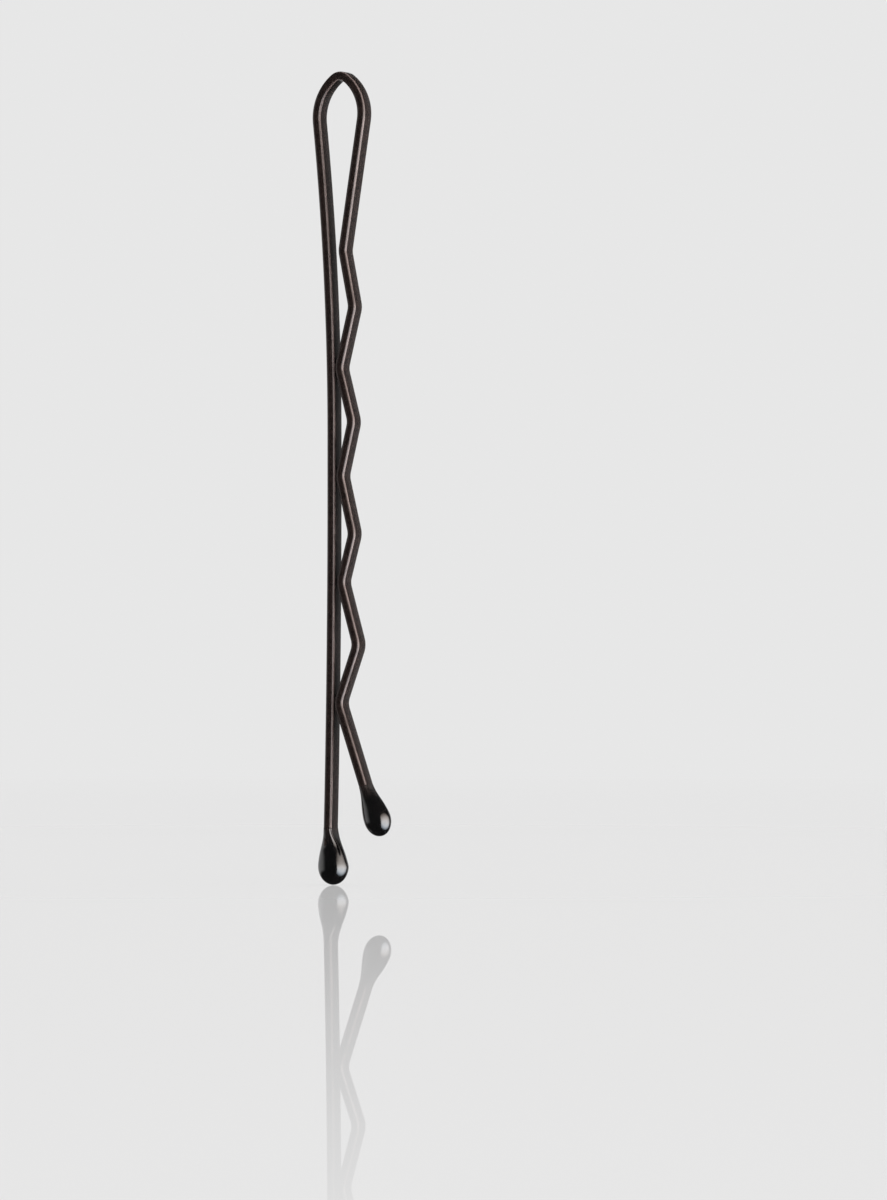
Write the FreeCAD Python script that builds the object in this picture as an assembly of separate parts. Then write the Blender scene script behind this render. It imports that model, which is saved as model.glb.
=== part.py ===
import FreeCAD, Part
import math
import os

# A spring hair pin: one flat wire bent into a loop, with a straight leg and a crimped leg, each leg dipped
# in a drop of resin at its end. Millimetres, +Z towards the loop, +X from the straight leg to the crimped
# leg, Y across the wire. The origin is on the straight leg's inner face, at the middle of the grip.

# The wire: round wire rolled flat, so its edges stay rounded. Its broad faces look towards the other leg.
wire_width = 1.64
wire_thickness = 0.68
wire_edge_radius = 0.29

# The whole pin. The crimped leg is shorter, so that a thumb can part the tips.
overall_length = 63.5
leg_step = 3.83

# The loop: a tight crown between two long sides, one for each leg.
crown_radius = 0.80
crown_half_angle = 38.1
straight_side_radius = 3.91
crimped_side_radius = 3.52
loop_offset = 0.717

# The straight leg: bowed above and below a flat stretch at the grip.
upper_bow_radius = 240.0
lower_bow_radius = 1128.0
flat_stretch = 3.80

# The crimped leg: its bends alternate between crests, which meet the straight leg, and peaks. Both lie at
# shares of the grip's length and stand off the straight leg by shares of the crimp's rise, taken at the
# corner of the bend. The first crest stands clear, and a rounded bend keeps the others from touching.
first_crest_drop = 14.0
last_crest_rise = 14.2
crimp_rise = 1.20
crimp_bend_radius = 1.60
tail_angle = 18.5
crest_place_shares = (0.500, 0.241, 0.002, -0.233, -0.500)
crest_rise_shares = (0.585, 0.015, 0.035, 0.100, 0.000)
peak_place_shares = (0.376, 0.122, -0.126, -0.372)
peak_rise_shares = (1.10, 0.86, 0.92, 1.27)
bend_reach_share = 0.45

# The dipped tips: a round belly, drawn up to a neck around the wire and down to a rounded end.
neck_film = 0.14
straight_tip_radius = 1.21
straight_tip_drop = 1.445
straight_tip_rise = 2.90
straight_tip_offset = 0.30
crimped_tip_radius = 1.07
crimped_tip_drop = 1.38
crimped_tip_rise = 2.65
crimped_tip_offset = 0.10
neck_shares = (0.0, 0.33, 0.67, 1.0)

# Heights that follow from the sizes above, and the centreline of the straight leg's flat stretch.
grip_length = overall_length - first_crest_drop - last_crest_rise
top = first_crest_drop + grip_length / 2
bottom = top - overall_length
leg_line = -wire_thickness / 2


def point(x, z):
    """A point in the pin's plane."""
    return FreeCAD.Vector(x, 0, z)


def polar(centre, radius, degrees):
    """A point on a circle in the pin's plane: 0 degrees is along +X, and 90 along +Z."""
    turn = math.radians(degrees)
    return centre + point(radius * math.cos(turn), radius * math.sin(turn))


def heading(start, end):
    """The direction from one point to another, in degrees from +X towards +Z."""
    return math.degrees(math.atan2(end.z - start.z, end.x - start.x))


def line(start, end):
    return Part.LineSegment(start, end).toShape()


def arc(centre, radius, start_angle, end_angle):
    """An arc in the pin's plane, drawn from one angle to the other."""
    angles = (start_angle, (start_angle + end_angle) / 2, end_angle)
    return Part.Arc(*[polar(centre, radius, angle) for angle in angles]).toShape()


def bent_run(points, radius):
    """Straight runs through the points, with a tangent bend at each inner one."""
    edges = []
    run_start = points[0]
    for before, corner, after in zip(points, points[1:], points[2:]):
        into = (corner - before).normalize()
        out = (after - corner).normalize()
        half_turn = into.getAngle(out) / 2
        shorter_run = min((corner - before).Length, (after - corner).Length)
        reach = min(radius * math.tan(half_turn), bend_reach_share * shorter_run)
        bend_radius = reach / math.tan(half_turn)
        cut_off = bend_radius / math.cos(half_turn) - bend_radius
        bend_start = corner - into * reach
        bend_middle = corner + (out - into).normalize() * cut_off
        bend_end = corner + out * reach
        edges.append(line(run_start, bend_start))
        edges.append(Part.Arc(bend_start, bend_middle, bend_end).toShape())
        run_start = bend_end
    edges.append(line(run_start, points[-1]))
    return edges


def wire_section(start, degrees):
    """The flat wire's section with its rounded edges, square to a path that leaves start that way."""
    across = wire_width / 2 - wire_edge_radius
    through = wire_thickness / 2 - wire_edge_radius
    centres = ((through, across), (-through, across), (-through, -across), (through, -across))
    corners = []
    for quarter, (x, y) in enumerate(centres):
        circle = Part.Circle(FreeCAD.Vector(x, y, 0), FreeCAD.Vector(0, 0, 1), wire_edge_radius)
        angle = quarter * math.pi / 2
        corners.append(Part.ArcOfCircle(circle, angle, angle + math.pi / 2).toShape())
    edges = []
    for corner, following in zip(corners, corners[1:] + corners[:1]):
        edges.append(corner)
        edges.append(line(corner.Vertexes[-1].Point, following.Vertexes[0].Point))
    section = Part.Wire(edges)
    section.Placement = FreeCAD.Placement(start, facing(degrees))
    return section


def facing(degrees):
    """The turn about Y that lays +Z along a direction in the pin's plane."""
    return FreeCAD.Rotation(FreeCAD.Vector(0, 1, 0), 90 - degrees)


def flat_wire(edges, start, degrees):
    """The wire bent along a path that leaves start in that direction."""
    return Part.Wire(edges).makePipeShell([wire_section(start, degrees)], True, False)


def straight_leg_x(z):
    """Where the straight leg's centreline is at a height."""
    if z > bow_start:
        return leg_line - upper_bow_radius + math.sqrt(upper_bow_radius**2 - (z - bow_start) ** 2)
    if z < flat_end:
        return leg_line - lower_bow_radius + math.sqrt(lower_bow_radius**2 - (flat_end - z) ** 2)
    return leg_line


def crimp_corners():
    """The corners of the crimped leg's bends, from the loop down: crest, peak, crest and so on."""
    corners = []
    bends = [*zip(crest_place_shares, crest_rise_shares), *zip(peak_place_shares, peak_rise_shares)]
    for place_share, rise_share in sorted(bends, reverse=True):
        z = place_share * grip_length
        rise = rise_share * crimp_rise
        corners.append(point(straight_leg_x(z) + wire_thickness + rise, z))
    return corners


def oval(x, z, half_x, half_y):
    """A level oval round the tip's axis."""
    centre = point(x, z)
    long_end = centre + FreeCAD.Vector(0, half_y, 0)
    short_end = centre + FreeCAD.Vector(half_x, 0, 0)
    return Part.Wire(Part.Ellipse(long_end, short_end, centre).toShape())


def dipped_tip(radius, drop, rise, offset):
    """A drop of resin standing on Z, with the wire's end at the origin and the neck above it."""
    neck_x = wire_thickness / 2 + neck_film
    neck_y = wire_width / 2 + neck_film
    sections = []
    for share in neck_shares:
        swell = share**2 * (3 - 2 * share)
        half_x = neck_x + (radius - neck_x) * swell
        half_y = neck_y + (radius - neck_y) * swell
        sections.append(oval(offset * share, rise * (1 - share), half_x, half_y))
    neck = Part.makeLoft(sections, True)
    stretch = FreeCAD.Matrix()
    stretch.scale(radius, radius, drop)
    outline = arc(point(0, 0), 1, -90, 0).transformGeometry(stretch)
    lid = line(point(radius, 0), point(0, 0))
    axis = line(point(0, 0), point(0, -drop))
    foot = Part.Face(Part.Wire([outline, lid, axis])).revolve(point(0, 0), point(0, 1), 360)
    foot.translate(point(offset, 0))
    return neck.fuse(foot).removeSplitter()


def seated_tip(tip, wire_end, degrees, leg):
    """A drop set on a leg's end, with the socket that the wire fills."""
    tip.Placement = FreeCAD.Placement(wire_end, facing(degrees))
    return tip.cut(leg)


# The loop's arcs, and how each side runs out into its leg.
crown_centre = point(leg_line + loop_offset, top - wire_thickness / 2 - crown_radius)
straight_crown_angle = 90 + crown_half_angle
crimped_crown_angle = 90 - crown_half_angle
straight_side_centre = polar(crown_centre, crown_radius - straight_side_radius, straight_crown_angle)
crimped_side_centre = polar(crown_centre, crown_radius - crimped_side_radius, crimped_crown_angle)

# The upper bow touches both the loop's side and the flat stretch, which sets where it starts.
bow_reach = upper_bow_radius + straight_side_radius
bow_span = straight_side_centre.x - leg_line + upper_bow_radius
bow_start = straight_side_centre.z - math.sqrt(bow_reach**2 - bow_span**2)
flat_end = bow_start - flat_stretch
upper_bow_centre = point(leg_line - upper_bow_radius, bow_start)
lower_bow_centre = point(leg_line - lower_bow_radius, flat_end)
straight_shoulder_angle = heading(straight_side_centre, upper_bow_centre) % 360
straight_wire_end_z = bottom + straight_tip_drop
lower_bow_angle = math.degrees(math.asin((flat_end - straight_wire_end_z) / lower_bow_radius))

# The crimped leg's first run leaves the loop's side in a straight line to the first crest.
corners = crimp_corners()
to_first_crest = corners[0] - crimped_side_centre
tangent_angle = math.degrees(math.acos(crimped_side_radius / to_first_crest.Length))
crimped_shoulder_angle = heading(crimped_side_centre, corners[0]) + tangent_angle
crimped_shoulder = polar(crimped_side_centre, crimped_side_radius, crimped_shoulder_angle)

# The tail runs on from the last crest until the drop's lowest point is a step above the straight tip's.
tilt = math.radians(tail_angle)
tip_reach = math.hypot(crimped_tip_drop * math.cos(tilt), crimped_tip_radius * math.sin(tilt))
tip_lift = crimped_tip_offset * math.sin(tilt)
tail_fall = corners[-1].z - bottom - leg_step - tip_reach + tip_lift
crimped_wire_end = corners[-1] + point(tail_fall * math.tan(tilt), -tail_fall)

spring_loop = flat_wire(
    [
        arc(straight_side_centre, straight_side_radius, straight_shoulder_angle, straight_crown_angle),
        arc(crown_centre, crown_radius, straight_crown_angle, crimped_crown_angle),
        arc(crimped_side_centre, crimped_side_radius, crimped_crown_angle, crimped_shoulder_angle),
    ],
    polar(straight_side_centre, straight_side_radius, straight_shoulder_angle),
    straight_shoulder_angle - 90,
)

bow_angle = straight_shoulder_angle - 180
straight_leg = flat_wire(
    [
        arc(upper_bow_centre, upper_bow_radius, bow_angle, 0),
        line(point(leg_line, bow_start), point(leg_line, flat_end)),
        arc(lower_bow_centre, lower_bow_radius, 0, -lower_bow_angle),
    ],
    polar(upper_bow_centre, upper_bow_radius, bow_angle),
    bow_angle - 90,
)

crimped_leg = flat_wire(
    bent_run([crimped_shoulder, *corners, crimped_wire_end], crimp_bend_radius),
    crimped_shoulder,
    heading(crimped_shoulder, corners[0]),
)

straight_tip = seated_tip(
    dipped_tip(straight_tip_radius, straight_tip_drop, straight_tip_rise, straight_tip_offset),
    polar(lower_bow_centre, lower_bow_radius, -lower_bow_angle),
    90 - lower_bow_angle,
    straight_leg,
)

crimped_tip = seated_tip(
    dipped_tip(crimped_tip_radius, crimped_tip_drop, crimped_tip_rise, crimped_tip_offset),
    crimped_wire_end,
    heading(crimped_wire_end, corners[-1]),
    crimped_leg,
)

nodes = {
    "spring_loop": spring_loop,
    "straight_leg": straight_leg,
    "crimped_leg": crimped_leg,
    "straight_tip": straight_tip,
    "crimped_tip": crimped_tip,
}

os.makedirs("parts", exist_ok=True)
for name, shape in nodes.items():
    shape.exportStep(f"parts/{name}.step")
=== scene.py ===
import math
import bpy
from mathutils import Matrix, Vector


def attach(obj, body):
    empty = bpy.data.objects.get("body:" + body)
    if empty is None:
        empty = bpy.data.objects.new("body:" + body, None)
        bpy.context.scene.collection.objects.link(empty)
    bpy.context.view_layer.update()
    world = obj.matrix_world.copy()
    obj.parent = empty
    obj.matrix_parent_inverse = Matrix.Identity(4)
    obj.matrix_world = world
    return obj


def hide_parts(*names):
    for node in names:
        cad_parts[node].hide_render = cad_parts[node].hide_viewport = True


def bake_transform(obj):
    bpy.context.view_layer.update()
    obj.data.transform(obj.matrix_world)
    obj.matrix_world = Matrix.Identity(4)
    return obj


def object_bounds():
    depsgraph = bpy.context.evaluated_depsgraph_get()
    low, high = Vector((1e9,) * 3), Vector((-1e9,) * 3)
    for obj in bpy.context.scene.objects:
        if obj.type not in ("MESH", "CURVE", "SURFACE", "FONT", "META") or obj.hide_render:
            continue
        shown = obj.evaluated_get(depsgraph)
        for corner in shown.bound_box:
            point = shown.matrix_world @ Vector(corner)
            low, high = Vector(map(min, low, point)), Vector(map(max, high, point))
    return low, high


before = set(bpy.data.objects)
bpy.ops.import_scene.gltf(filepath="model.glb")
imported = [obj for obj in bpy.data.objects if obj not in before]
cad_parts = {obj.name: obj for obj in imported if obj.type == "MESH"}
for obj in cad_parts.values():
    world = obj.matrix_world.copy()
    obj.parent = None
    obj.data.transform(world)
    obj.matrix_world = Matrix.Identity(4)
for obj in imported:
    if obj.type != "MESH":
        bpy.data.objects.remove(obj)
cad_box = [list(corner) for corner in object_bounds()]
bpy.context.scene.view_settings.view_transform = "Standard"

# Spring loop: the head of the pin, where the wire turns back on itself and stores the grip's force.
# Spring-steel wire rolled flat with rounded edges, bent round a narrow former so that its sides stay
# nearly straight, then dipped in brown-black lacquer and baked.
wire_width = 0.00164
wire_thickness = 0.00068
wire_edge_radius = 0.00029
straight_shoulder = (-0.001593595, 0.0, 0.027663518)
straight_shoulder_lean = 5.858682
straight_side_radius = 0.00391
crown_radius = 0.00080
crown_half_angle = 38.1
crimped_side_radius = 0.00352
crimped_shoulder_lean = 8.781343


def start_wire(name, place, heading):
    """Lay down the wire's section, square to a heading in degrees from +Z towards +X."""
    bpy.ops.object.select_all(action="DESELECT")
    turn = (0, math.radians(heading), 0)
    bpy.ops.mesh.primitive_plane_add(size=1, location=place, rotation=turn)
    wire = bpy.context.object
    wire.name = name
    wire.data.name = name
    wire.scale = (wire_thickness, wire_width, 1)
    bpy.ops.object.transform_apply(location=True, rotation=True, scale=True)
    bpy.ops.object.mode_set(mode="EDIT")
    bpy.ops.mesh.select_mode(type="VERT")
    bpy.ops.mesh.select_all(action="SELECT")
    bpy.ops.mesh.bevel(offset=wire_edge_radius, segments=8, affect="VERTICES")
    bpy.ops.mesh.select_all(action="SELECT")
    bpy.ops.mesh.select_mode(type="FACE")
    return Vector(place), heading


def feed(end, length, steps):
    """Push the wire straight on, and give back its new end."""
    place, heading = end
    turn = math.radians(heading)
    along = Vector((math.sin(turn), 0, math.cos(turn)))
    for _ in range(steps):
        bpy.ops.mesh.extrude_region_move(TRANSFORM_OT_translate={"value": along * (length / steps)})
    return place + along * length, heading


def bend(end, radius, degrees, steps):
    """Bend the wire round a former; positive degrees turn it from +Z towards +X."""
    place, heading = end
    turn = math.radians(heading)
    side = Vector((math.cos(turn), 0, -math.sin(turn))) * math.copysign(radius, degrees)
    former = place + side
    bpy.ops.mesh.spin(steps=steps, angle=-math.radians(degrees), center=former, axis=(0, 1, 0))
    turned = math.radians(heading + degrees)
    new_side = Vector((math.cos(turned), 0, -math.sin(turned))) * math.copysign(radius, degrees)
    return former - new_side, heading + degrees


def finish_wire():
    """Close up the bent wire, turn its faces outwards and smooth all but the cut ends."""
    bpy.ops.mesh.select_all(action="SELECT")
    bpy.ops.mesh.remove_doubles(threshold=1e-7)
    bpy.ops.mesh.normals_make_consistent(inside=False)
    bpy.ops.object.mode_set(mode="OBJECT")
    bpy.ops.object.shade_smooth_by_angle(angle=math.radians(40))
    return bpy.context.object


wire_end = start_wire("loop_wire", straight_shoulder, -straight_shoulder_lean)
wire_end = bend(wire_end, straight_side_radius, 90 - crown_half_angle + straight_shoulder_lean, 34)
wire_end = bend(wire_end, crown_radius, 2 * crown_half_angle, 36)
wire_end = bend(wire_end, crimped_side_radius, 90 - crown_half_angle + crimped_shoulder_lean, 34)
crimped_shoulder = wire_end
loop_wire = finish_wire()

# The marks that any small thing gets in use: fine specks of dust and a slow ripple in its coating.
handling_marks = bpy.data.node_groups.new("handling_marks", "ShaderNodeTree")
handling_marks.interface.new_socket("Speck Scale", in_out="INPUT", socket_type="NodeSocketFloat")
handling_marks.interface.new_socket("Speck Share", in_out="INPUT", socket_type="NodeSocketFloat")
handling_marks.interface.new_socket("Ripple Scale", in_out="INPUT", socket_type="NodeSocketFloat")
handling_marks.interface.new_socket("Specks", in_out="OUTPUT", socket_type="NodeSocketFloat")
handling_marks.interface.new_socket("Ripple", in_out="OUTPUT", socket_type="NodeSocketFloat")


def add_node(tree, kind, **settings):
    """Add a node and set its own properties."""
    node = tree.nodes.new(kind)
    for name, value in settings.items():
        setattr(node, name, value)
    return node


marks_in = add_node(handling_marks, "NodeGroupInput")
marks_out = add_node(handling_marks, "NodeGroupOutput")
marks_place = add_node(handling_marks, "ShaderNodeTexCoord")
speck_cells = add_node(handling_marks, "ShaderNodeTexVoronoi", feature="F1")
speck_size = add_node(handling_marks, "ShaderNodeMath", operation="LESS_THAN")
ripple_noise = add_node(handling_marks, "ShaderNodeTexNoise")
ripple_noise.inputs["Detail"].default_value = 2.0
handling_marks.links.new(marks_place.outputs["Object"], speck_cells.inputs["Vector"])
handling_marks.links.new(marks_in.outputs["Speck Scale"], speck_cells.inputs["Scale"])
handling_marks.links.new(speck_cells.outputs["Distance"], speck_size.inputs[0])
handling_marks.links.new(marks_in.outputs["Speck Share"], speck_size.inputs[1])
handling_marks.links.new(speck_size.outputs["Value"], marks_out.inputs["Specks"])
handling_marks.links.new(marks_place.outputs["Object"], ripple_noise.inputs["Vector"])
handling_marks.links.new(marks_in.outputs["Ripple Scale"], ripple_noise.inputs["Scale"])
handling_marks.links.new(ripple_noise.outputs["Fac"], marks_out.inputs["Ripple"])

# The lacquer: near black where it lies thick, browner where it is thin, and lighter along the wire's four
# edges, partly as wear and partly as a painted highlight that stands in for the edges' sheen.
lacquer = bpy.data.materials.new("baked_lacquer")
lacquer.use_nodes = True
tree = lacquer.node_tree
shader = tree.nodes["Principled BSDF"]
shader.inputs["IOR"].default_value = 1.45
shader.inputs["Specular Tint"].default_value = (1.0, 0.91, 0.89, 1)
place = add_node(tree, "ShaderNodeTexCoord")
mottle = add_node(tree, "ShaderNodeTexNoise")
mottle.inputs["Scale"].default_value = 4200.0
mottle.inputs["Detail"].default_value = 5.0
mottle.inputs["Roughness"].default_value = 0.62
tree.links.new(place.outputs["Object"], mottle.inputs["Vector"])
film = add_node(tree, "ShaderNodeValToRGB")
film.color_ramp.elements[0].position = 0.36
film.color_ramp.elements[0].color = (0.0125, 0.0082, 0.0074, 1)
film.color_ramp.elements[1].position = 0.68
film.color_ramp.elements[1].color = (0.0280, 0.0188, 0.0166, 1)
tree.links.new(mottle.outputs["Fac"], film.inputs["Fac"])

# The edge bands, lighter as wear and as a painted highlight, lie at a fixed distance from the wire's
# middle plane, so |Y| finds them.
across = add_node(tree, "ShaderNodeSeparateXYZ")
tree.links.new(place.outputs["Object"], across.inputs["Vector"])
distance = add_node(tree, "ShaderNodeMath", operation="ABSOLUTE")
tree.links.new(across.outputs["Y"], distance.inputs[0])
edge_rise = add_node(tree, "ShaderNodeMapRange", interpolation_type="SMOOTHSTEP")
edge_rise.inputs["From Min"].default_value = wire_width / 2 - wire_edge_radius
edge_rise.inputs["From Max"].default_value = wire_width / 2 - 0.65 * wire_edge_radius
tree.links.new(distance.outputs["Value"], edge_rise.inputs["Value"])
edge_fall = add_node(tree, "ShaderNodeMapRange", interpolation_type="SMOOTHSTEP")
edge_fall.inputs["From Min"].default_value = wire_width / 2 - 0.60 * wire_edge_radius
edge_fall.inputs["From Max"].default_value = wire_width / 2 - 0.20 * wire_edge_radius
edge_fall.inputs["To Min"].default_value = 1.0
edge_fall.inputs["To Max"].default_value = 0.0
tree.links.new(distance.outputs["Value"], edge_fall.inputs["Value"])
edge_highlight_band = add_node(tree, "ShaderNodeMath", operation="MULTIPLY")
tree.links.new(edge_rise.outputs["Result"], edge_highlight_band.inputs[0])
tree.links.new(edge_fall.outputs["Result"], edge_highlight_band.inputs[1])
edge_wear_and_highlight_noise = add_node(tree, "ShaderNodeTexNoise")
edge_wear_and_highlight_noise.inputs["Scale"].default_value = 520.0
edge_wear_and_highlight_noise.inputs["Detail"].default_value = 6.0
tree.links.new(place.outputs["Object"], edge_wear_and_highlight_noise.inputs["Vector"])
edge_wear_and_highlight_patches = add_node(tree, "ShaderNodeMapRange")
edge_wear_and_highlight_patches.inputs["From Min"].default_value = 0.20
edge_wear_and_highlight_patches.inputs["From Max"].default_value = 0.52
tree.links.new(edge_wear_and_highlight_noise.outputs["Fac"], edge_wear_and_highlight_patches.inputs["Value"])
edge_wear_and_highlight = add_node(tree, "ShaderNodeMath", operation="MULTIPLY")
tree.links.new(edge_highlight_band.outputs["Value"], edge_wear_and_highlight.inputs[0])
tree.links.new(edge_wear_and_highlight_patches.outputs["Result"], edge_wear_and_highlight.inputs[1])
# Lighter edge colour: partly wear, partly a painted highlight along the wire's edges.
worn_and_highlit_edges = add_node(tree, "ShaderNodeMix", data_type="RGBA")
worn_and_highlit_edges.inputs["B"].default_value = (0.230, 0.180, 0.170, 1)
tree.links.new(edge_wear_and_highlight.outputs["Value"], worn_and_highlit_edges.inputs["Factor"])
tree.links.new(film.outputs["Color"], worn_and_highlit_edges.inputs["A"])
marks = add_node(tree, "ShaderNodeGroup", node_tree=handling_marks)
marks.inputs["Speck Scale"].default_value = 2600.0
marks.inputs["Speck Share"].default_value = 0.11
marks.inputs["Ripple Scale"].default_value = 5200.0
dusted = add_node(tree, "ShaderNodeMix", data_type="RGBA")
dusted.inputs["B"].default_value = (0.045, 0.038, 0.036, 1)
tree.links.new(marks.outputs["Specks"], dusted.inputs["Factor"])
tree.links.new(worn_and_highlit_edges.outputs["Result"], dusted.inputs["A"])
tree.links.new(dusted.outputs["Result"], shader.inputs["Base Color"])
gloss = add_node(tree, "ShaderNodeMapRange")
gloss.inputs["To Min"].default_value = 0.17
gloss.inputs["To Max"].default_value = 0.25
tree.links.new(mottle.outputs["Fac"], gloss.inputs["Value"])
tree.links.new(gloss.outputs["Result"], shader.inputs["Roughness"])
drawing = add_node(tree, "ShaderNodeMapping")
drawing.inputs["Scale"].default_value = (1.0, 1.0, 0.04)
tree.links.new(place.outputs["Object"], drawing.inputs["Vector"])
drawn_lines = add_node(tree, "ShaderNodeTexNoise")
drawn_lines.inputs["Scale"].default_value = 9000.0
tree.links.new(drawing.outputs["Vector"], drawn_lines.inputs["Vector"])
relief = add_node(tree, "ShaderNodeMath", operation="ADD")
tree.links.new(drawn_lines.outputs["Fac"], relief.inputs[0])
tree.links.new(marks.outputs["Ripple"], relief.inputs[1])
bump = add_node(tree, "ShaderNodeBump")
bump.inputs["Strength"].default_value = 0.35
bump.inputs["Distance"].default_value = 0.000006
tree.links.new(relief.outputs["Value"], bump.inputs["Height"])
tree.links.new(bump.outputs["Normal"], shader.inputs["Normal"])

loop_wire.data.materials.append(lacquer)
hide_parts("spring_loop")
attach(loop_wire, "loop")

# Straight leg: the same wire running down from the loop's left shoulder, the longer of the two legs.
# It is sprung into a slight bow above and below the grip, so that it presses on the other leg's crests.
# The first millimetres below the shoulder are where the real wire flexes.
upper_bow_radius = 0.240
flat_stretch = 0.00380
lower_bow_radius = 1.128
lower_bow_turn = 1.512341
flexing_length = 0.0050

wire_end = start_wire("straight_leg_wire", straight_shoulder, 180 - straight_shoulder_lean)
wire_end = bend(wire_end, upper_bow_radius, straight_shoulder_lean, 72)
wire_end = feed(wire_end, flat_stretch, 2)
wire_end = bend(wire_end, lower_bow_radius, lower_bow_turn, 12)
straight_wire_end = wire_end
straight_leg_wire = finish_wire()
straight_leg_wire.data.materials.append(lacquer)
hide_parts("straight_leg")
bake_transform(straight_leg_wire)

# Crimped leg: the wire's shorter end, bent to and fro between a pair of toothed rolls so that five crests
# meet the straight leg and four peaks stand off it. Its tail turns outwards to lead the hair in.
crimp_bend_radius = 0.00160
crimped_wire_end = Vector((0.003239651, 0.0, -0.026699720))
crimp_corners = [
    Vector((0.00060451, 0.0, 0.0176500)),
    Vector((0.00144708, 0.0, 0.0132728)),
    Vector((0.00029854, 0.0, 0.0085073)),
    Vector((0.00136929, 0.0, 0.0043066)),
    Vector((0.00038200, 0.0, 0.0000706)),
    Vector((0.00143755, 0.0, -0.0044478)),
    Vector((0.00043446, 0.0, -0.0082249)),
    Vector((0.00179477, 0.0, -0.0131316)),
    Vector((0.00021166, 0.0, -0.0176500)),
]


def crimp(end, corner, following):
    """Feed the wire up to a corner of its route and bend it round towards the following point."""
    place, heading = end
    onward = following - corner
    turn = (math.degrees(math.atan2(onward.x, onward.z)) - heading + 180) % 360 - 180
    reach = crimp_bend_radius * math.tan(math.radians(abs(turn)) / 2)
    end = feed(end, (corner - place).length - reach, 3)
    return bend(end, crimp_bend_radius, turn, 12)


wire_end = start_wire("crimped_leg_wire", *crimped_shoulder)
wire_end = feed(wire_end, 1.2 * flexing_length, 24)
for corner, following in zip(crimp_corners, [*crimp_corners[1:], crimped_wire_end]):
    wire_end = crimp(wire_end, corner, following)
wire_end = feed(wire_end, (crimped_wire_end - wire_end[0]).length, 4)
crimped_wire_heading = wire_end[1]
crimped_leg_wire = finish_wire()
crimped_leg_wire.data.materials.append(lacquer)
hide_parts("crimped_leg")
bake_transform(crimped_leg_wire)

# Straight leg's tip: a drop of hard black resin that covers the cut wire end, so that it doesn't scratch.
# The end is dipped and hung to set, so the drop is round at its foot, hangs a little to one side, and
# runs up the wire in a thin meniscus.
straight_tip_radius = 0.00121
straight_tip_drop = 0.001445
straight_tip_rise = 0.00290
straight_tip_offset = 0.00030
straight_tip_shoulders = (
    (0.48, 0.740),
    (0.40, 0.800),
    (0.32, 0.853),
    (0.24, 0.899),
    (0.16, 0.941),
    (0.08, 0.979),
)
film_top = 0.00012
film_inset = (0.97, 0.98, 1)
film_growth = (1.05, 1.010, 1.004)
film_fading = 2.5
foot_rings = 14
ring_corners = 64


def dip_tip(name, wire_end, heading, radius, drop, rise, offset, shoulders):
    """Draw a drop from a thin film round the wire to its belly and its foot, and set it on a wire's end.

    Each shoulder is a share of the rise and the share of the belly's radius that the drop has there.
    """
    bpy.ops.object.select_all(action="DESELECT")
    bpy.ops.mesh.primitive_plane_add(size=1, location=(0, 0, rise + film_top))
    tip = bpy.context.object
    tip.name = name
    tip.data.name = name
    tip.scale = (wire_thickness, wire_width, 1)
    bpy.ops.object.transform_apply(location=True, rotation=True, scale=True)
    bpy.ops.object.mode_set(mode="EDIT")
    bpy.ops.mesh.select_mode(type="VERT")
    bpy.ops.mesh.select_all(action="SELECT")
    bpy.ops.mesh.bevel(offset=wire_edge_radius, segments=ring_corners // 4 - 1, affect="VERTICES")
    bpy.ops.mesh.select_all(action="SELECT")
    bpy.ops.mesh.select_mode(type="FACE")
    bpy.ops.transform.resize(value=film_inset, center_override=(0, 0, rise + film_top))
    for growth in film_growth:
        fall = -film_top / len(film_growth)
        bpy.ops.mesh.extrude_region_move(TRANSFORM_OT_translate={"value": (0, 0, fall)})
        bpy.ops.transform.resize(value=(growth, growth, 1), center_override=(0, 0, rise))
    bpy.ops.mesh.delete(type="ONLY_FACE")
    bpy.ops.mesh.select_mode(type="EDGE")
    rings = [(share * rise, width * radius) for share, width in shoulders]
    turns = [math.radians(90 * step / foot_rings) for step in range(foot_rings)]
    rings += [(-drop * math.sin(turn), radius * math.cos(turn)) for turn in turns]
    top_height, top_width = rings[0]
    top = (0, 0, top_height)
    bpy.ops.mesh.primitive_circle_add(vertices=ring_corners, radius=top_width, location=top)
    for (height, width), (new_height, new_width) in zip(rings, rings[1:]):
        bpy.ops.mesh.extrude_region_move(TRANSFORM_OT_translate={"value": (0, 0, new_height - height)})
        growth = new_width / width
        bpy.ops.transform.resize(value=(growth, growth, 1), center_override=(0, 0, 0))
    last_fall = -drop - rings[-1][0]
    bpy.ops.mesh.extrude_region_move(TRANSFORM_OT_translate={"value": (0, 0, last_fall)})
    bpy.ops.mesh.merge(type="CENTER")
    bpy.ops.mesh.select_all(action="DESELECT")
    bpy.ops.mesh.select_non_manifold()
    bpy.ops.mesh.bridge_edge_loops(type="SINGLE", number_cuts=14, interpolation="SURFACE", smoothness=1.0)
    bpy.ops.mesh.select_all(action="SELECT")
    bpy.ops.mesh.normals_make_consistent(inside=False)
    bpy.ops.object.mode_set(mode="OBJECT")
    bpy.ops.object.shade_smooth_by_angle(angle=math.radians(60))
    thin_film = tip.data.attributes.new("thin_film", "FLOAT", "POINT")
    for vertex, thinness in zip(tip.data.vertices, thin_film.data):
        share = 1 - vertex.co.z / rise
        vertex.co.x += offset * min(max(share, 0), 1)
        thinness.value = min(max(1 - film_fading * share, 0), 1)
    tip.location = wire_end
    tip.rotation_euler = (0, math.radians(heading), 0)
    bpy.ops.object.transform_apply(location=True, rotation=True, scale=True)
    return tip


straight_tip_resin = dip_tip(
    "straight_tip_resin",
    straight_wire_end[0],
    straight_wire_end[1] - 180,
    straight_tip_radius,
    straight_tip_drop,
    straight_tip_rise,
    straight_tip_offset,
    straight_tip_shoulders,
)

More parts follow.
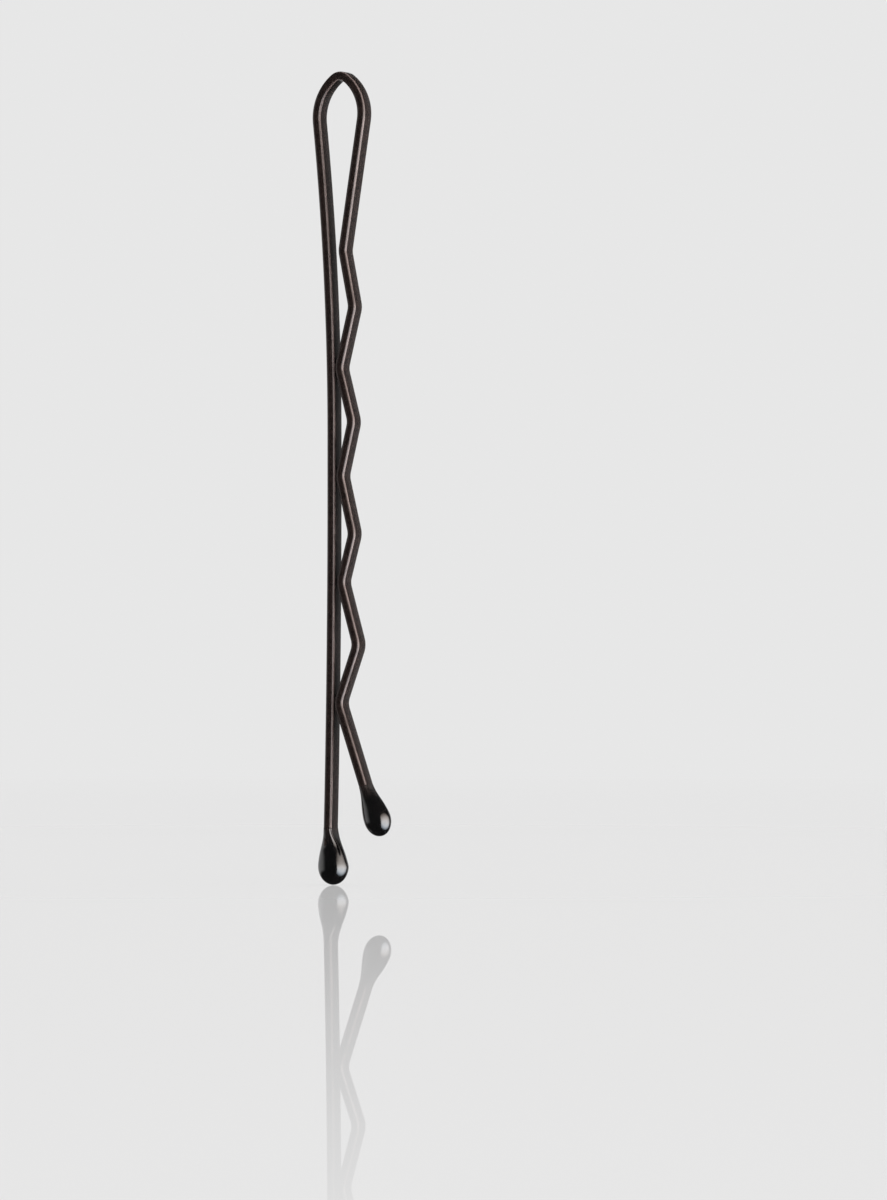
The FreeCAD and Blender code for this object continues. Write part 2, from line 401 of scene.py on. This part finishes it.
# The resin: glossy blue-black, with a slow ripple from setting and a few specks of dust.
resin = bpy.data.materials.new("dipped_resin")
resin.use_nodes = True
tree = resin.node_tree
shader = tree.nodes["Principled BSDF"]
shader.inputs["IOR"].default_value = 1.5
shader.inputs["Specular IOR Level"].default_value = 1.0
place = add_node(tree, "ShaderNodeTexCoord")
clouding = add_node(tree, "ShaderNodeTexNoise")
clouding.inputs["Scale"].default_value = 700.0
clouding.inputs["Detail"].default_value = 3.0
tree.links.new(place.outputs["Object"], clouding.inputs["Vector"])
depth = add_node(tree, "ShaderNodeValToRGB")
depth.color_ramp.elements[0].position = 0.35
depth.color_ramp.elements[0].color = (0.0015, 0.0016, 0.0022, 1)
depth.color_ramp.elements[1].position = 0.70
depth.color_ramp.elements[1].color = (0.0045, 0.0040, 0.0042, 1)
tree.links.new(clouding.outputs["Fac"], depth.inputs["Fac"])
marks = add_node(tree, "ShaderNodeGroup", node_tree=handling_marks)
marks.inputs["Speck Scale"].default_value = 1500.0
marks.inputs["Speck Share"].default_value = 0.05
marks.inputs["Ripple Scale"].default_value = 1500.0
dusted = add_node(tree, "ShaderNodeMix", data_type="RGBA")
dusted.inputs["B"].default_value = (0.030, 0.029, 0.030, 1)
tree.links.new(marks.outputs["Specks"], dusted.inputs["Factor"])
film_share = add_node(tree, "ShaderNodeAttribute", attribute_name="thin_film")
see_through = add_node(tree, "ShaderNodeMix", data_type="RGBA")
see_through.inputs["B"].default_value = (0.0200, 0.0135, 0.0120, 1)
tree.links.new(film_share.outputs["Fac"], see_through.inputs["Factor"])
tree.links.new(depth.outputs["Color"], see_through.inputs["A"])
tree.links.new(see_through.outputs["Result"], dusted.inputs["A"])
tree.links.new(dusted.outputs["Result"], shader.inputs["Base Color"])
gloss = add_node(tree, "ShaderNodeMapRange")
gloss.inputs["To Min"].default_value = 0.09
gloss.inputs["To Max"].default_value = 0.16
tree.links.new(clouding.outputs["Fac"], gloss.inputs["Value"])
film_gloss = add_node(tree, "ShaderNodeMix", data_type="FLOAT")
film_gloss.inputs["B"].default_value = 0.21
tree.links.new(film_share.outputs["Fac"], film_gloss.inputs["Factor"])
tree.links.new(gloss.outputs["Result"], film_gloss.inputs["A"])
tree.links.new(film_gloss.outputs["Result"], shader.inputs["Roughness"])
bump = add_node(tree, "ShaderNodeBump")
bump.inputs["Strength"].default_value = 0.25
bump.inputs["Distance"].default_value = 0.00003
tree.links.new(marks.outputs["Ripple"], bump.inputs["Height"])
tree.links.new(bump.outputs["Normal"], shader.inputs["Normal"])

straight_tip_resin.data.materials.append(resin)
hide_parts("straight_tip")
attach(straight_tip_resin, "straight_arm")

# Crimped leg's tip: a smaller drop of the same resin, dipped on the turned-out tail.
crimped_tip_radius = 0.00107
crimped_tip_drop = 0.00138
crimped_tip_rise = 0.00265
crimped_tip_offset = 0.00010
crimped_tip_shoulders = (
    (0.40, 0.850),
    (0.32, 0.895),
    (0.24, 0.935),
    (0.16, 0.968),
    (0.08, 0.991),
)

crimped_tip_resin = dip_tip(
    "crimped_tip_resin",
    crimped_wire_end,
    crimped_wire_heading - 180,
    crimped_tip_radius,
    crimped_tip_drop,
    crimped_tip_rise,
    crimped_tip_offset,
    crimped_tip_shoulders,
)
crimped_tip_resin.data.materials.append(resin)
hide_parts("crimped_tip")
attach(crimped_tip_resin, "crimped_arm")

# Floor: a pale polished sheet that the pin stands on by its longer tip. Seen along its surface it shows
# the pin, and only the pin, upside down and fading away from it; further off it is as plain as the
# backdrop. It runs far out behind the pin and ends a little in front of it. The pin doesn't mirror it.
camera_bearing = math.radians(24)
to_camera = Vector((math.sin(camera_bearing), -math.cos(camera_bearing), 0))
pale = (0.80, 0.80, 0.80, 1)
floor_height = cad_box[0][2] - 0.00002
floor_front = 0.40
floor_back = 5.60
polish_reach = 0.375
polish_share_at_pin = 0.585
lit_share_at_pin = 0.25

bpy.ops.object.select_all(action="DESELECT")
floor_middle = to_camera * ((floor_front - floor_back) / 2) + Vector((0, 0, floor_height))
bpy.ops.mesh.primitive_plane_add(size=1, location=floor_middle, rotation=(0, 0, camera_bearing))
floor = bpy.context.object
floor.name = "floor"
floor.scale = (8, floor_front + floor_back, 1)
bpy.ops.object.transform_apply(location=True, rotation=True, scale=True)
floor_finish = bpy.data.materials.new("pale_polished_sheet")
floor_finish.use_nodes = True
tree = floor_finish.node_tree
tree.nodes.remove(tree.nodes["Principled BSDF"])
place = add_node(tree, "ShaderNodeTexCoord")
reach = add_node(tree, "ShaderNodeVectorMath", operation="LENGTH")
tree.links.new(place.outputs["Object"], reach.inputs[0])
outward = add_node(tree, "ShaderNodeMapRange")
outward.inputs["From Max"].default_value = polish_reach
tree.links.new(reach.outputs["Value"], outward.inputs["Value"])
fading = add_node(tree, "ShaderNodeMath", operation="POWER")
fading.inputs[1].default_value = 2.0
tree.links.new(outward.outputs["Result"], fading.inputs[0])
nearness = add_node(tree, "ShaderNodeMath", operation="SUBTRACT")
nearness.inputs[0].default_value = 1.0
tree.links.new(fading.outputs["Value"], nearness.inputs[1])
lit_share = add_node(tree, "ShaderNodeMath", operation="MULTIPLY")
lit_share.inputs[1].default_value = lit_share_at_pin
tree.links.new(nearness.outputs["Value"], lit_share.inputs[0])
plain_share = add_node(tree, "ShaderNodeMath", operation="SUBTRACT")
plain_share.inputs[0].default_value = 1.0
tree.links.new(lit_share.outputs["Value"], plain_share.inputs[1])
rays = add_node(tree, "ShaderNodeLightPath")
seen = add_node(tree, "ShaderNodeMath", operation="MAXIMUM")
tree.links.new(rays.outputs["Is Camera Ray"], seen.inputs[0])
tree.links.new(rays.outputs["Is Glossy Ray"], seen.inputs[1])
seen_through = add_node(tree, "ShaderNodeMath", operation="MAXIMUM")
tree.links.new(seen.outputs["Value"], seen_through.inputs[0])
tree.links.new(rays.outputs["Is Transmission Ray"], seen_through.inputs[1])
plain_part = add_node(tree, "ShaderNodeMath", operation="MULTIPLY")
tree.links.new(seen_through.outputs["Value"], plain_part.inputs[0])
tree.links.new(plain_share.outputs["Value"], plain_part.inputs[1])
lit = add_node(tree, "ShaderNodeBsdfDiffuse")
lit.inputs["Color"].default_value = (0.98, 0.98, 0.98, 1)
plain = add_node(tree, "ShaderNodeEmission")
plain.inputs["Color"].default_value = pale
sheet = add_node(tree, "ShaderNodeMixShader")
tree.links.new(plain_part.outputs["Value"], sheet.inputs["Fac"])
tree.links.new(lit.outputs["BSDF"], sheet.inputs[1])
tree.links.new(plain.outputs["Emission"], sheet.inputs[2])
glancing = add_node(tree, "ShaderNodeFresnel")
glancing.inputs["IOR"].default_value = 1.15
polish_strength = add_node(tree, "ShaderNodeMath", operation="MULTIPLY")
polish_strength.inputs[1].default_value = polish_share_at_pin
tree.links.new(nearness.outputs["Value"], polish_strength.inputs[0])
polish_share = add_node(tree, "ShaderNodeMath", operation="MULTIPLY")
tree.links.new(glancing.outputs["Fac"], polish_share.inputs[0])
tree.links.new(polish_strength.outputs["Value"], polish_share.inputs[1])
polish = add_node(tree, "ShaderNodeBsdfAnisotropic")
polish.inputs["Color"].default_value = (1.0, 1.0, 1.0, 1)
polish.inputs["Roughness"].default_value = 0.0
polished = add_node(tree, "ShaderNodeMixShader")
tree.links.new(polish_share.outputs["Value"], polished.inputs["Fac"])
tree.links.new(sheet.outputs["Shader"], polished.inputs[1])
tree.links.new(polish.outputs["BSDF"], polished.inputs[2])
tree.links.new(polished.outputs["Shader"], tree.nodes["Material Output"].inputs["Surface"])
floor.data.materials.append(floor_finish)
floor.visible_glossy = False

# Backdrop and room: a pale band at about the pin's height behind it and to its left, and an unlit room on
# the side that the camera stands on, which is what the wire's near edges and the tips mirror. The camera
# and the floor's polish, the one perfectly sharp mirror here, see plain backdrop all round.
unlit_bearing = (0.839, -0.545, 0.0)
room = bpy.data.worlds.new("studio_room")
bpy.context.scene.world = room
room.use_nodes = True
room.cycles.sampling_method = "NONE"
tree = room.node_tree
background = tree.nodes["Background"]
place = add_node(tree, "ShaderNodeTexCoord")
unlit_side = add_node(tree, "ShaderNodeVectorMath", operation="DOT_PRODUCT")
unlit_side.inputs[1].default_value = unlit_bearing
tree.links.new(place.outputs["Generated"], unlit_side.inputs[0])
lit_side = add_node(tree, "ShaderNodeMapRange", interpolation_type="SMOOTHSTEP")
lit_side.inputs["From Min"].default_value = 0.0
lit_side.inputs["From Max"].default_value = -0.67
tree.links.new(unlit_side.outputs["Value"], lit_side.inputs["Value"])
height = add_node(tree, "ShaderNodeSeparateXYZ")
tree.links.new(place.outputs["Generated"], height.inputs["Vector"])
slope = add_node(tree, "ShaderNodeMath", operation="ABSOLUTE")
tree.links.new(height.outputs["Z"], slope.inputs[0])
lit_height = add_node(tree, "ShaderNodeMapRange", interpolation_type="SMOOTHSTEP")
lit_height.inputs["From Min"].default_value = 0.40
lit_height.inputs["From Max"].default_value = 0.20
tree.links.new(slope.outputs["Value"], lit_height.inputs["Value"])
lit_part = add_node(tree, "ShaderNodeMath", operation="MULTIPLY")
tree.links.new(lit_side.outputs["Result"], lit_part.inputs[0])
tree.links.new(lit_height.outputs["Result"], lit_part.inputs[1])
mirrored = add_node(tree, "ShaderNodeMix", data_type="RGBA")
mirrored.inputs["A"].default_value = (0.04, 0.04, 0.04, 1)
mirrored.inputs["B"].default_value = pale
tree.links.new(lit_part.outputs["Value"], mirrored.inputs["Factor"])
rays = add_node(tree, "ShaderNodeLightPath")
reflected = add_node(tree, "ShaderNodeMath", operation="MAXIMUM")
tree.links.new(rays.outputs["Is Glossy Ray"], reflected.inputs[0])
tree.links.new(rays.outputs["Is Transmission Ray"], reflected.inputs[1])
room_light = add_node(tree, "ShaderNodeMix", data_type="RGBA")
room_light.inputs["A"].default_value = (0.60, 0.60, 0.61, 1)
tree.links.new(reflected.outputs["Value"], room_light.inputs["Factor"])
tree.links.new(mirrored.outputs["Result"], room_light.inputs["B"])
seen_room = add_node(tree, "ShaderNodeMix", data_type="RGBA")
seen_room.inputs["B"].default_value = pale
seen = add_node(tree, "ShaderNodeMath", operation="MAXIMUM")
tree.links.new(rays.outputs["Is Camera Ray"], seen.inputs[0])
tree.links.new(rays.outputs["Is Singular Ray"], seen.inputs[1])
tree.links.new(seen.outputs["Value"], seen_room.inputs["Factor"])
tree.links.new(room_light.outputs["Result"], seen_room.inputs["A"])
tree.links.new(seen_room.outputs["Result"], background.inputs["Color"])

# Softbox: one large light on the right, brightest at its middle, warm at its top and cooler lower down. It
# lights the wire's edges, whose lighter lacquer is partly wear and partly painted highlight, and draws the
# windows in the tips. It hangs past the table's edge.
softbox_bearing = math.radians(88)
softbox_distance = 0.90
softbox_near_reach = 0.63
softbox_far_reach = 1.44
softbox_bottom = -1.00
softbox_top = 0.62
softbox_strength = 7.0

bpy.ops.object.select_all(action="DESELECT")
to_softbox = Vector((math.sin(softbox_bearing), -math.cos(softbox_bearing), 0))
along_softbox = Vector((math.cos(softbox_bearing), math.sin(softbox_bearing), 0))
softbox_width = softbox_near_reach + softbox_far_reach
softbox_shift = (softbox_far_reach - softbox_near_reach) / 2
softbox_middle = to_softbox * softbox_distance + along_softbox * softbox_shift
softbox_middle.z = (softbox_bottom + softbox_top) / 2
softbox_turn = (math.radians(90), 0, softbox_bearing)
bpy.ops.mesh.primitive_plane_add(size=1, location=softbox_middle, rotation=softbox_turn)
softbox = bpy.context.object
softbox.name = "softbox"
softbox.scale = (softbox_width, softbox_top - softbox_bottom, 1)
bpy.ops.object.transform_apply(location=True, rotation=True, scale=True)
softbox.visible_camera = False
softbox_cloth = bpy.data.materials.new("softbox_cloth")
softbox_cloth.use_nodes = True
softbox_cloth.cycles.emission_sampling = "NONE"
tree = softbox_cloth.node_tree
tree.nodes.remove(tree.nodes["Principled BSDF"])
place = add_node(tree, "ShaderNodeTexCoord")
height = add_node(tree, "ShaderNodeSeparateXYZ")
tree.links.new(place.outputs["Object"], height.inputs["Vector"])
centred = add_node(tree, "ShaderNodeMapping")
centred.inputs["Location"].default_value = (-softbox_near_reach / softbox_far_reach, -1, 0)
centred.inputs["Scale"].default_value = (softbox_width / softbox_far_reach, 2, 0)
tree.links.new(place.outputs["UV"], centred.inputs["Vector"])
outward = add_node(tree, "ShaderNodeVectorMath", operation="LENGTH")
tree.links.new(centred.outputs["Vector"], outward.inputs[0])
edge_fading = add_node(tree, "ShaderNodeMapRange")
edge_fading.inputs["From Min"].default_value = 0.28
edge_fading.inputs["From Max"].default_value = 1.0
edge_fading.inputs["To Min"].default_value = softbox_strength
edge_fading.inputs["To Max"].default_value = 0.0
tree.links.new(outward.outputs["Value"], edge_fading.inputs["Value"])
warming = add_node(tree, "ShaderNodeMapRange")
warming.inputs["From Min"].default_value = softbox_bottom
warming.inputs["From Max"].default_value = 0.85 * softbox_top
tree.links.new(height.outputs["Z"], warming.inputs["Value"])
tint = add_node(tree, "ShaderNodeMix", data_type="RGBA")
tint.inputs["A"].default_value = (0.74, 0.88, 1.0, 1)
tint.inputs["B"].default_value = (1.0, 0.88, 0.80, 1)
tree.links.new(warming.outputs["Result"], tint.inputs["Factor"])
glow = add_node(tree, "ShaderNodeEmission")
tree.links.new(tint.outputs["Result"], glow.inputs["Color"])
tree.links.new(edge_fading.outputs["Result"], glow.inputs["Strength"])
rays = add_node(tree, "ShaderNodeLightPath")
unseen = add_node(tree, "ShaderNodeBsdfTransparent")
cloth = add_node(tree, "ShaderNodeMixShader")
tree.links.new(rays.outputs["Is Singular Ray"], cloth.inputs["Fac"])
tree.links.new(glow.outputs["Emission"], cloth.inputs[1])
tree.links.new(unseen.outputs["BSDF"], cloth.inputs[2])
tree.links.new(cloth.outputs["Shader"], tree.nodes["Material Output"].inputs["Surface"])
softbox.data.materials.append(softbox_cloth)

# Camera: level with the lower part of the pin and turned 24 degrees round it, so that the near edges and
# the right-hand faces of the wire show. A long lens, with the pin left of the middle of the frame.
camera_distance = 0.600
camera_height = -0.00960
camera_sideways = 0.008205

camera_right = Vector((math.cos(camera_bearing), math.sin(camera_bearing), 0))
camera_place = to_camera * camera_distance + camera_right * camera_sideways + Vector((0, 0, camera_height))
bpy.ops.object.camera_add(location=camera_place, rotation=(math.radians(90), 0, camera_bearing))
camera = bpy.context.object
camera.name = "camera"
camera.data.lens = 230.4
camera.data.sensor_width = 36
camera.data.clip_start = 0.01
camera.data.clip_end = 20
bpy.context.scene.camera = camera
